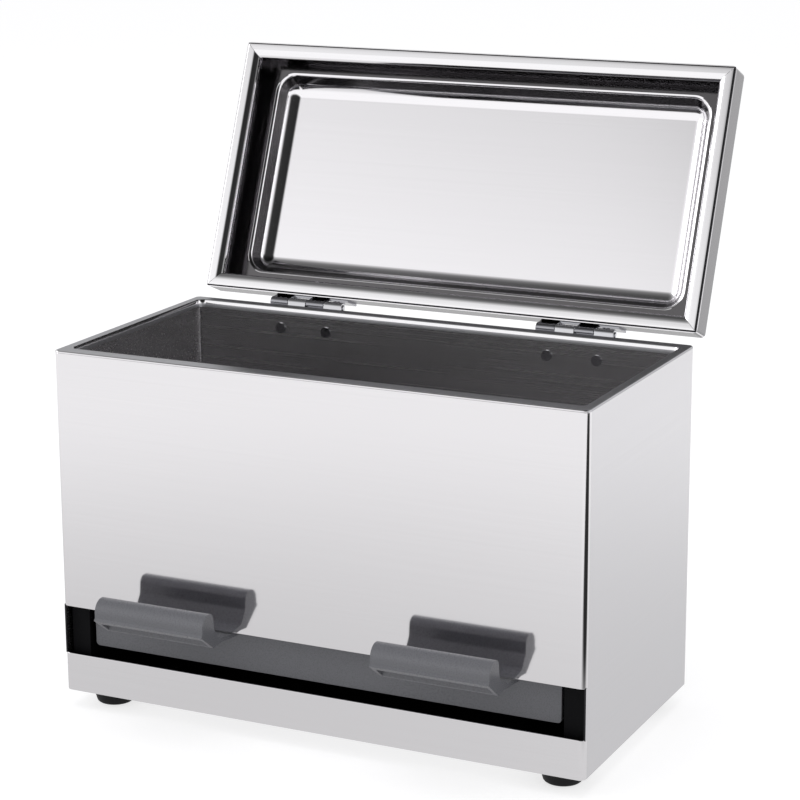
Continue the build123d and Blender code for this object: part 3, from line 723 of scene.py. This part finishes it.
# %% [markdown]
# ## Lower front strip
#
# Under the slot a low strip closes the front, bent like the panel. Its blunt top edge catches the light as a
# thin white line. It could be cut from the panel, but the same helper makes it at its own height, with the
# same bends. Behind it the case is dark, and that shade is painted on the back of the strip as a near-black
# finish.

# %% Lower front strip
strip = front_sheet("lower_strip_sheet", BASE, SLOT_LOW)
hand_over(strip, "case", "front", ["lower_front_strip"])
# Painted shade: the back of the strip is near black, for the shade inside the case.
second_finish(strip, "painted_shade", lambda p, n: abs(p.x) < HALF - 0.5 and n.y > 0.5)

# %% [markdown]
# ## Rim of the mouth
#
# A flat rim runs round the mouth, with a lip turned down inside. The opening has rounded corners and the
# outside has nearly square ones. Cutting a hole into a plate would leave long thin faces, so the shape starts
# as the opening: a plane with its four points bevelled. Its edge is extruded outwards and the four round
# corners of that new edge are gathered to points. A last narrow band round it leaves clean corners to bevel.
# Then the middle face is deleted. The lip slants before it turns straight down, and that bright slant is the
# white line along the back of the mouth. Its light is partly real, from the slant, and partly a painted
# highlight: the slant takes a brighter finish than the rest of the rim, which is darkened in part as a
# painted reflection.

# %% Sheet with a rounded middle
def rounded_middle(name, centre, half_in, radius, half_full, band, steps):
    """Flat sheet whose middle face has round corners, with a square band round its outline."""
    half_out = (half_full[0] - band, half_full[1] - band)
    obj = plane(name, centre, (2 * half_in[0], 2 * half_in[1]))
    bpy.ops.mesh.select_mode(type="VERT")
    bpy.ops.mesh.select_all(action="SELECT")
    bpy.ops.mesh.bevel(offset=radius * MM, segments=steps, affect="VERTICES")
    bpy.ops.mesh.select_mode(type="EDGE")
    bpy.ops.mesh.select_all(action="SELECT")
    bpy.ops.mesh.extrude_edges_move(TRANSFORM_OT_translate={"value": (0, 0, 0)})
    grow = (half_out[0] / half_in[0], half_out[1] / half_in[1], 1.0)
    middle = Vector(centre) * MM
    bpy.ops.transform.resize(value=grow, center_override=middle)
    near_x = half_out[0] - radius * grow[0] - 0.05
    near_y = half_out[1] - radius * grow[1] - 0.05
    for sx in (-1, 1):
        for sy in (-1, 1):
            corner = Vector((centre[0] + sx * half_out[0], centre[1] + sy * half_out[1], centre[2])) * MM

            def in_corner(p, n):
                x, y = sx * (p.x - centre[0]), sy * (p.y - centre[1])
                outside = x > half_in[0] + 0.05 or y > half_in[1] + 0.05
                return x > near_x and y > near_y and outside

            choose(obj, "VERT", in_corner)
            bpy.ops.transform.resize(value=(0, 0, 0), center_override=corner)
    bpy.ops.mesh.select_all(action="SELECT")
    bpy.ops.mesh.remove_doubles(threshold=0.000002)
    choose(obj, "EDGE", lambda p, d: abs(p.x - centre[0]) > half_out[0] - 0.02
           or abs(p.y - centre[1]) > half_out[1] - 0.02)
    bpy.ops.mesh.extrude_edges_move(TRANSFORM_OT_translate={"value": (0, 0, 0)})
    bpy.ops.transform.resize(value=(half_full[0] / half_out[0], half_full[1] / half_out[1], 1.0),
                             center_override=middle)
    return obj


# %% Mouth rim
MOUTH_Y = 0.75
MOUTH_HALF = (111.0, 51.75)
MOUTH_CORNER, MOUTH_BAND = 3.0, 2.9
LIP_DROP, SLANT_DROP, SLANT_RUN = 3.3, 1.6, 0.55


def over_mouth(p, past):
    """Whether a place lies over the mouth, or past its outline by no more than a distance."""
    return abs(p.x) < MOUTH_HALF[0] + past and abs(p.y - MOUTH_Y) < MOUTH_HALF[1] + past


rim = rounded_middle("mouth_rim_sheet", (0, MOUTH_Y, TOP), MOUTH_HALF, MOUTH_CORNER, (HALF, BACK),
                     MOUTH_BAND, 6)
choose(rim, "VERT", lambda p, n: abs(p.x) > HALF - 3.0)
bpy.ops.transform.translate(value=(0, -MOUTH_Y * MM, 0))
choose(rim, "FACE", lambda p, n: abs(p.x) < 1 and abs(p.y - MOUTH_Y) < 1)
bpy.ops.mesh.delete(type="FACE")
outer = extend(rim, lambda p, d: abs(p.x) > HALF - 0.1 or abs(p.y) > BACK - 0.1, (0, 0, -SHEET))
inner = extend(rim, lambda p, d: p.z > TOP - 0.1 and over_mouth(p, 0.05), (0, 0, -SLANT_DROP))
bpy.ops.transform.resize(value=(1 - SLANT_RUN / MOUTH_HALF[0], 1 - SLANT_RUN / MOUTH_HALF[1], 1.0),
                         center_override=Vector((0, MOUTH_Y, TOP)) * MM)
extend(rim, lambda p, d: abs(p.z - TOP + SLANT_DROP) < 0.02 and abs(d.z) < 0.1, (0, 0, SLANT_DROP - LIP_DROP))
print("outer edges", outer, "mouth edges", inner)

# %% Bends, thickness and finish of the rim
RIM_EDGE = 0.55

for at_back in (True, False):
    soften(rim, lambda p, d: abs(d.z) > 0.9 and abs(p.x) > HALF - 0.1 and (p.y > 0) == at_back, BEND, 5)
look_out(rim, lambda p, n: p.z > TOP - 0.05, (0, 0, 1))
bpy.ops.mesh.select_all(action="DESELECT")
bpy.ops.mesh.select_mode(type="EDGE")
bpy.ops.mesh.edges_select_sharp(sharpness=math.radians(60))
bpy.ops.mesh.bevel(offset=RIM_EDGE * MM, segments=4, profile=0.5, affect="EDGES", clamp_overlap=False)
look_out(rim, lambda p, n: p.z > TOP - 0.05, (0, 0, 1))
give_thickness(rim, SHEET, even=False)
hand_over(rim, "case", "rim", ["mouth_rim"])
second_finish(rim, "front", lambda p, n: n.y < -0.3 and p.y < FRONT + 0.6)
# Painted highlight in part: the rim's inner slant takes the brighter, polished finish.
second_finish(rim, "frame", lambda p, n: 0.2 < n.z < 0.75 and over_mouth(p, 0.5))

# %% [markdown]
# ## Lid
#
# The lid is pressed from one sheet: low walls, and a raised panel with sloping sides. It is modelled closed,
# because its faces are then square to the axes, and swung open at the end. The panel could be extruded and
# scaled down, but its slope would then be wider at the two ends. An inset with a depth keeps it the same all
# round. The low walls and the hollow round the panel mirror the dark inside of the case in the photograph,
# and that dark reflection is painted into them: these faces take darker steel finishes.

# %% Swing of the lid
HINGE = Vector((0, 61.0, 151.7))
OPEN_ANGLE = math.radians(-112.3)
SWING = (Matrix.Translation(HINGE * MM) @ Matrix.Rotation(OPEN_ANGLE, 4, "X")
         @ Matrix.Translation(-HINGE * MM))
print("swing", round(math.degrees(OPEN_ANGLE), 1), "degrees about", HINGE[:])

# %% Lid pressing
LID_MIDDLE = 1.4
LID_REACH = (113.85, 55.7)
LID_LOW, LID_TOP = 151.8, 165.0
LID_BAND = 3.5
PANEL_REACH = (101.85, 45.3)
PANEL_RISE = 8.0
PANEL_RUN = PANEL_RISE * math.tan(math.radians(30))
PANEL_CORNER, PANEL_TOP_BEND, PANEL_FOOT_BEND = 9.0, 4.2, 0.6

lid = rounded_middle("lid_pressing", (0, LID_MIDDLE, LID_TOP), PANEL_REACH, PANEL_CORNER, LID_REACH,
                     LID_BAND, 10)
choose(lid, "FACE", lambda p, n: abs(p.x) < 1 and abs(p.y - LID_MIDDLE) < 1)
bpy.ops.mesh.inset(thickness=PANEL_RUN * MM, depth=PANEL_RISE * MM)
soften(lid, lambda p, d: p.z > LID_TOP + PANEL_RISE - 0.1, PANEL_TOP_BEND, 10)
soften(lid, lambda p, d: abs(p.z - LID_TOP) < 0.1 and abs(p.x) < PANEL_REACH[0] + 0.05
       and abs(p.y - LID_MIDDLE) < PANEL_REACH[1] + 0.05, PANEL_FOOT_BEND, 4)
print("panel reach", PANEL_REACH, "rise", PANEL_RISE)

# %% Walls and finishes of the lid
LID_BEND = 1.9


def lid_edge(p, within):
    """Whether a place of the closed lid is within a distance of its outline."""
    return abs(p.x) > LID_REACH[0] - within or abs(p.y - LID_MIDDLE) > LID_REACH[1] - within


extend(lid, lambda p, d: lid_edge(p, 0.1), (0, 0, LID_LOW + SHEET - LID_TOP))
soften(lid, lambda p, d: p.z < LID_TOP + 0.1 and (p.z > LID_TOP - 0.1 or abs(d.z) > 0.9)
       and lid_edge(p, 0.1), LID_BEND, 5)
look_out(lid, lambda p, n: p.z > LID_TOP + PANEL_RISE - 0.05, (0, 0, 1))
give_thickness(lid, SHEET)
hand_over(lid, "lid", "lid", ["lid_shell"])
# Painted reflection: the lid's low walls take a dark steel for the dark they mirror.
second_finish(lid, "lid_wall_painted_reflection", lambda p, n: lid_edge(p, 0.3) and p.z < LID_TOP - 0.4)
# Painted reflection: the flange and the steep slopes round the panel take a darker steel still.
second_finish(lid, "recess", lambda p, n: LID_TOP - 1.5 < p.z < LID_TOP + 3.4
              and (n.z < -0.99 or -0.53 < n.z < -0.4))
place_applied(lid, SWING)

# %% [markdown]
# ## Frame inside the lid
#
# Four strips close the lid's edge, mitred at the corners. Each is flat along its outer half and then turns
# up more and more towards its lip. On a flat strip a reflection is one even tone, and on this one it runs
# from white to black at the lip. The strip is a plane with edges extruded along its section, and its ends are
# cut at 45 degrees by bisect. A long and a short strip are modelled, and two turned copies finish the frame.
# The joint with the lid's wall is a fine dark line of shade, which is painted: the outermost faces take a
# near-black finish.

# %% One mitred strip
FLAT_START, FLAT_END = 0.8, 2.15
SECTION_STEPS = ((1.6, 0.03), (0.8, 0.12), (0.75, 0.25), (0.7, 0.4), (0.6, 0.55), (0.0, 1.05))
OUTER_STEP = (-0.4, 0.6)
STRIP_BEND, STRIP_EDGE = 0.35, 0.12
MITRE = 0.08


def frame_strip(name, half_length, reach):
    """Strip of the lid's frame along X, on the front side of the lid."""
    outer = LID_MIDDLE - reach
    start, end = outer + FLAT_START, outer + FLAT_END
    obj = plane(name, (0, (start + end) / 2, LID_LOW), (2 * half_length, end - start))
    at = Vector((0, end, LID_LOW))
    for run, rise in SECTION_STEPS:
        here = at.copy()
        extend(obj, lambda p, d: abs(p.y - here.y) < 0.02 and abs(p.z - here.z) < 0.02 and abs(d.x) > 0.9,
               (0, run, rise))
        at += Vector((0, run, rise))
    extend(obj, lambda p, d: abs(p.y - start) < 0.02 and abs(p.z - LID_LOW) < 0.02 and abs(d.x) > 0.9,
           (0, *OUTER_STEP))
    soften(obj, lambda p, d: abs(d.x) > 0.9 and LID_LOW - 0.1 < p.z < LID_LOW + 1.3
           and outer + 0.5 < p.y < outer + 7, STRIP_BEND, 3)
    for side in (-1, 1):
        bpy.ops.mesh.select_all(action="SELECT")
        bpy.ops.mesh.bisect(plane_co=Vector((side * (half_length - MITRE), outer, 0)) * MM,
                            plane_no=(side, 1, 0), clear_outer=True)
    look_out(obj, lambda p, n: start < p.y < end, (0, 0, -1))
    give_thickness(obj, SHEET)
    break_edges(obj, STRIP_EDGE, limit=45)
    return obj


# %% Frame of four strips
TURN = Matrix.Translation((0, LID_MIDDLE * MM, 0))


def turned(degrees):
    """Turn about the upright line through the lid's middle."""
    return TURN @ Matrix.Rotation(math.radians(degrees), 4, "Z") @ TURN.inverted()


frame_front = frame_strip("lid_frame_front", LID_REACH[0], LID_REACH[1])
frame_back = moved_copy(frame_front, "lid_frame_back", turned(180))
frame_right = frame_strip("lid_frame_right", LID_REACH[1], LID_REACH[0])
place_applied(frame_right, turned(90))
frame_left = moved_copy(frame_right, "lid_frame_left", turned(180))
for piece, node in ((frame_front, "lid_rim_front"), (frame_back, "lid_rim_back"),
                    (frame_right, "lid_rim_right"), (frame_left, "lid_rim_left")):
    hand_over(piece, "lid", "frame", [node])
    # Painted shade: the outermost faces of each strip are near black, for the shade in the joint with the
    # wall.
    second_finish(piece, "painted_shade", lambda p, n: n.z > -0.98 and p.z < LID_LOW + 0.7 and lid_edge(p, 1.0))
    place_applied(piece, SWING)

# %% [markdown]
# ## Hinges
#
# Each hinge has a leaf on the case and one on the lid. Their knuckles are rolled from the leaf itself, in
# turn, and a pin runs through them. Plain tubes could be set on the leaf, but then the bend from leaf to
# knuckle would be missing. So the leaf is a plane. Cuts by bisect mark off the knuckles on its edge, those
# parts are extruded to the barrel and spun round the pin's axis, and Solidify makes them sheet.

# %% Leaf with rolled knuckles
KNUCKLE_RADIUS = 2.1
KNUCKLES = 4
PITCH = 34.6 / KNUCKLES
GAP = 0.15
LEAF, LEAF_EDGE = 0.9, 0.12
NECK = 3.4
ROLL = math.radians(300)


def rolled_leaf(name, centre_x, wall_y, way, height, first):
    """Leaf above (way 1) or below (way -1) the pin, its knuckles rolled round the pin."""
    near = HINGE.z + way * NECK
    far = near + way * height
    left, width = centre_x - 2 * PITCH, KNUCKLES * PITCH
    obj = plane(name, (centre_x, wall_y, (near + far) / 2), (width, height), (math.pi / 2, 0, 0))
    spans = [(left + i * PITCH + GAP, left + (i + 1) * PITCH - GAP) for i in range(first, KNUCKLES, 2)]
    for span in spans:
        for x in span:
            if left + 0.01 < x < left + width - 0.01:
                bpy.ops.mesh.select_all(action="SELECT")
                bpy.ops.mesh.bisect(plane_co=(x * MM, 0, 0), plane_no=(1, 0, 0))

    def knuckle_edge(level):
        return lambda p, d: abs(p.z - level) < 0.02 and abs(d.x) > 0.9 and any(a < p.x < b for a, b in spans)

    extend(obj, knuckle_edge(near), (0, HINGE.y - KNUCKLE_RADIUS - wall_y, HINGE.z - near))
    choose(obj, "EDGE", knuckle_edge(HINGE.z))
    bpy.ops.mesh.spin(steps=18, angle=-ROLL * way, center=HINGE * MM, axis=(1, 0, 0))
    look_out(obj, lambda p, n: abs(p.z - (near + far) / 2) < 1, (0, -1, 0))
    give_thickness(obj, LEAF)
    break_edges(obj, LEAF_EDGE, limit=55)
    return obj


# %% Both hinges
HINGE_X = 62.3
CASE_LEAF, LID_LEAF = 13.0, 9.0
PIN_RADIUS, PIN_LENGTH, PIN_EDGE = 0.9, KNUCKLES * PITCH + 0.8, 0.3

for side, x in (("left", -HINGE_X), ("right", HINGE_X)):
    lower = rolled_leaf(side + "_case_leaf", x, BACK, -1, CASE_LEAF, 1)
    hand_over(lower, "case", "hinge", [side + "_hinge_box_leaf"])
    upper = rolled_leaf(side + "_lid_leaf", x, LID_MIDDLE + LID_REACH[1], 1, LID_LEAF, 0)
    # Painted shade: the lid's leaf takes a darker copy of the same hinge steel.
    hand_over(upper, "lid", "hinge_painted_shade", [side + "_hinge_lid_leaf"])
    place_applied(upper, SWING)
    pin = drum(side + "_pin", (x, HINGE.y, HINGE.z), PIN_RADIUS, PIN_LENGTH, 20, (0, math.pi / 2, 0))
    soften(pin, lambda p, d: abs(p.x - x) > PIN_LENGTH / 2 - 0.1 and abs(d.x) < 0.5, PIN_EDGE, 3)
    hand_over(pin, "case", "hinge", [side + "_hinge_pin"])

# %% [markdown]
# ## Rocker
#
# The rocker is one plastic moulding: plate, shelf, barrel, ribs, tail and two hollow tabs. Its solid has all
# of that already. What a moulding has and the solid lacks is a small radius on every edge. So a copy of the
# solid is merged, its flat faces are made whole, and a bevel rounds the edges.

# %% Moulded rocker
MOULDED_EDGE = 0.35

bpy.ops.object.select_all(action="DESELECT")
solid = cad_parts["rocker"]
moulding = solid.copy()
moulding.data = solid.data.copy()
moulding.name = moulding.data.name = "rocker_moulding"
moulding.animation_data_clear()
bpy.context.collection.objects.link(moulding)
moulding.parent = None
moulding.matrix_world = Matrix.Identity(4)
for key in list(moulding.keys()):
    if key.startswith("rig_"):
        del moulding[key]
moulding.select_set(True)
bpy.context.view_layer.objects.active = moulding
bpy.ops.object.mode_set(mode="EDIT")
bpy.ops.mesh.select_all(action="SELECT")
bpy.ops.mesh.remove_doubles(threshold=0.00001)
bpy.ops.mesh.customdata_custom_splitnormals_clear()
bpy.ops.mesh.dissolve_limited(angle_limit=math.radians(1.0))
break_edges(moulding, MOULDED_EDGE, 3, 32)
hand_over(moulding, "rocker", "rocker", ["rocker"], 40)

# %% [markdown]
# ## Feet
#
# Four rubber feet, wider at the top, each with a recess for its screw. A profile could be spun for them, but
# a round bar needs fewer steps: the lower end is drawn in, its edge is rounded, and the recess is an inset
# pushed up. One foot is shaped, and all four are copies of it.

# %% Four feet
FOOT_X, FOOT_Y = 100.5, 42.5
FOOT_TOP, FOOT_SOLE = 9.5, 7.5
RECESS_RIM, RECESS_DEPTH = 3.7, 3.5
SOLE_EDGE, RECESS_EDGE, TOP_EDGE = 1.3, 0.4, 0.5


def from_axis(p):
    """Distance from the upright axis of the foot that is modelled."""
    return Vector((p.x - FOOT_X, p.y + FOOT_Y)).length


foot = drum("foot_shape", (FOOT_X, -FOOT_Y, BASE / 2), FOOT_TOP, BASE, 64)
choose(foot, "FACE", lambda p, n: n.z < -0.9)
draw_in = FOOT_SOLE / FOOT_TOP
bpy.ops.transform.resize(value=(draw_in, draw_in, 1), center_override=Vector((FOOT_X, -FOOT_Y, 0)) * MM)
bpy.ops.mesh.inset(thickness=RECESS_RIM * MM, depth=0)
bpy.ops.mesh.extrude_region_move(TRANSFORM_OT_translate={"value": (0, 0, RECESS_DEPTH * MM)})
soften(foot, lambda p, d: p.z < 0.05 and from_axis(p) > 7.2, SOLE_EDGE, 5)
soften(foot, lambda p, d: p.z < 0.05 and from_axis(p) < 4.0, RECESS_EDGE, 2)
soften(foot, lambda p, d: p.z > BASE - 0.1 and from_axis(p) > 9.2, TOP_EDGE, 3)
bpy.ops.object.mode_set(mode="OBJECT")
for end, y in (("front", -FOOT_Y), ("back", FOOT_Y)):
    for side, x in (("left", -FOOT_X), ("right", FOOT_X)):
        move = Matrix.Translation(Vector((x - FOOT_X, y + FOOT_Y, 0)) * MM)
        rubber = moved_copy(foot, end + "_" + side + "_rubber", move)
        hand_over(rubber, "case", "rubber", ["foot_" + end + "_" + side])
bpy.data.objects.remove(foot)
